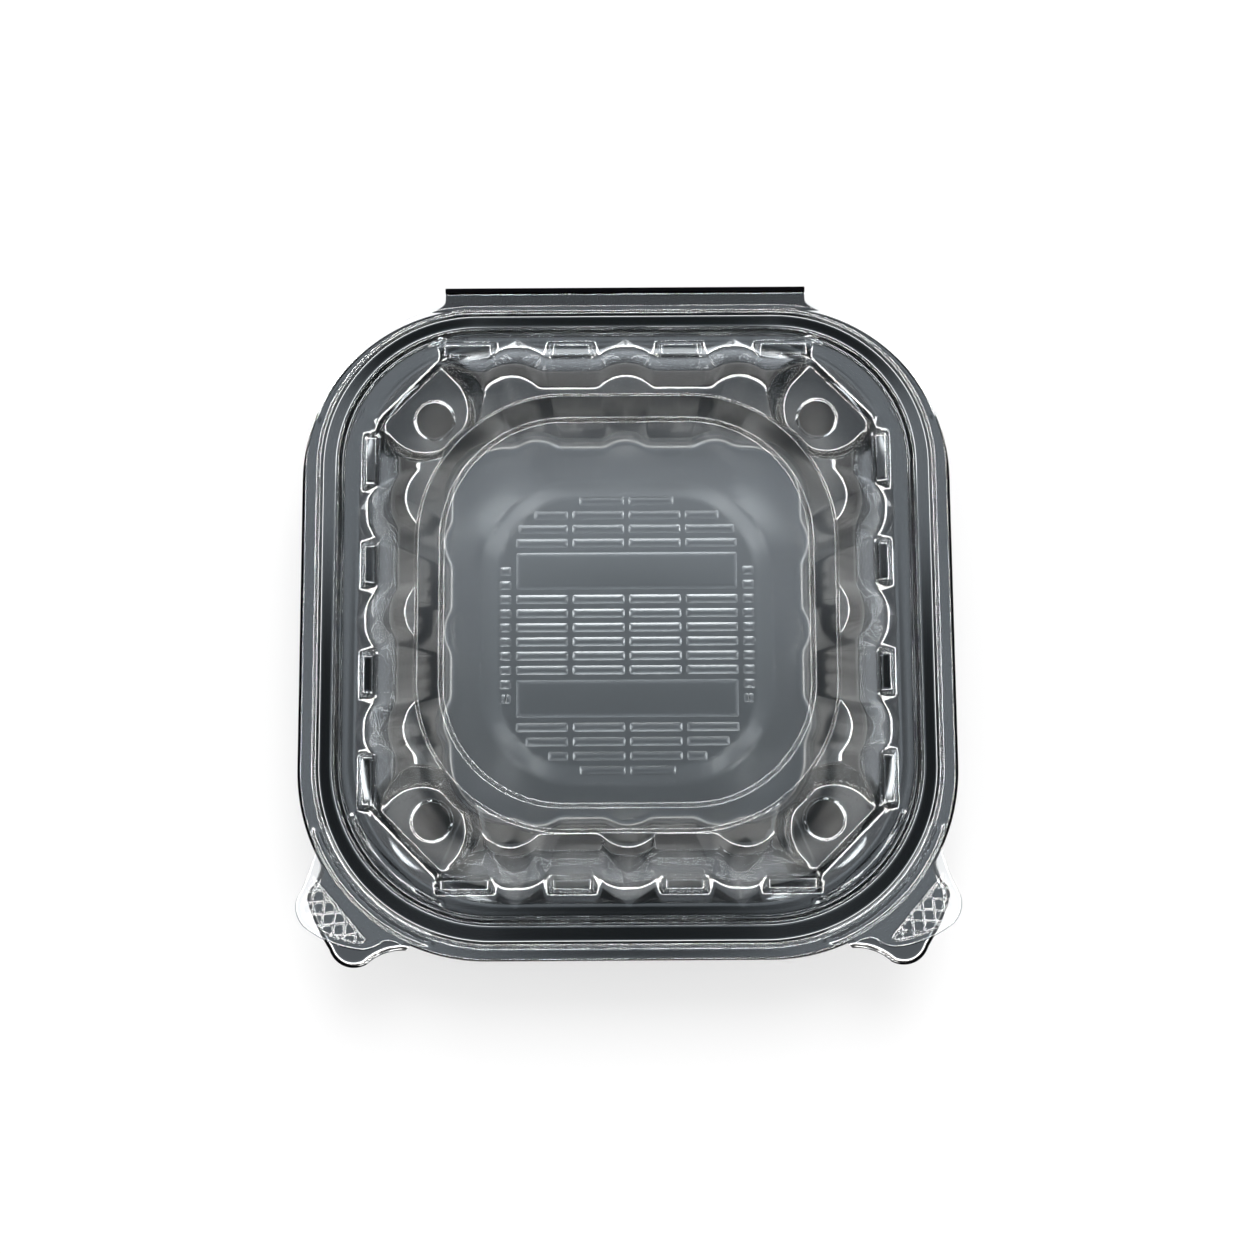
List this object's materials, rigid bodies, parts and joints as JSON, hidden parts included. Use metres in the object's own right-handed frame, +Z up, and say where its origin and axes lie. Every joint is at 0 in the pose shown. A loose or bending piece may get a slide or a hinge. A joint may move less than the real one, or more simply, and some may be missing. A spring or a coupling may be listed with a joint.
{
  "type": "hinged food container",
  "caption": "Square hinged takeaway container: a black fluted tray and a clear domed lid with corner vents, snap bead and front lifting tabs.",
  "frame": {"origin": "centre of the object's box in plan, on the plane that the tray's foot rests on", "axes": "+Z up out of the tray, +Y towards the hinge at the back, +X to the right seen from the tabs"},
  "size_m": [0.2054, 0.2138, 0.0642],
  "materials": {
    "black_sheet": "satin black formed sheet",
    "clear_sheet": "clear glossy formed sheet"
  },
  "bodies": {
    "tray": {"base_tray": "black_sheet"},
    "lid": {"lid": "clear_sheet"}
  },
  "joints": [
    {"name": "lid_hinge", "type": "hinge", "parent": "tray", "child": "lid", "pos_m": [0, 0.10601, 0.03815], "axis": [-1, 0, 0], "range_deg": [0, 180]}
  ]
}
